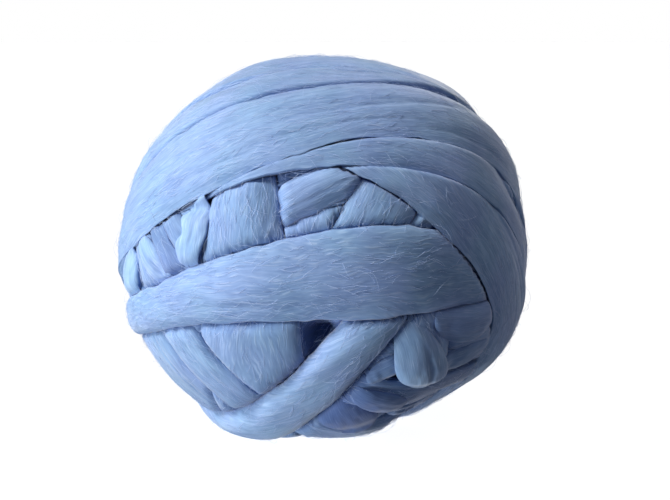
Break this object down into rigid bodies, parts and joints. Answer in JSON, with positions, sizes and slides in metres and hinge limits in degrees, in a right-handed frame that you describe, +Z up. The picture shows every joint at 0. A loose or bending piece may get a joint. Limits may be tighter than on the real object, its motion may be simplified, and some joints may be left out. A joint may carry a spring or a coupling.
{
  "type": "ball of chunky merino roving",
  "caption": "Large hand-wound ball of thick, unspun merino roving in sky blue, wound in broad soft bands that cross each other, resting on a small settled flat spot.",
  "frame": {"origin": "on the surface that the ball stands on, under the middle of its box", "axes": "+Z up; the front, with the one broad band that runs level across the middle, faces -Y; +X to the right as seen from the front"},
  "size_m": [0.2629, 0.2585, 0.2398],
  "materials": {
    "merino_wool": "soft, combed, unspun wool fibre with a low satin sheen"
  },
  "bodies": {
    "root": {"wool_ball": "merino_wool"}
  },
  "joints": []
}
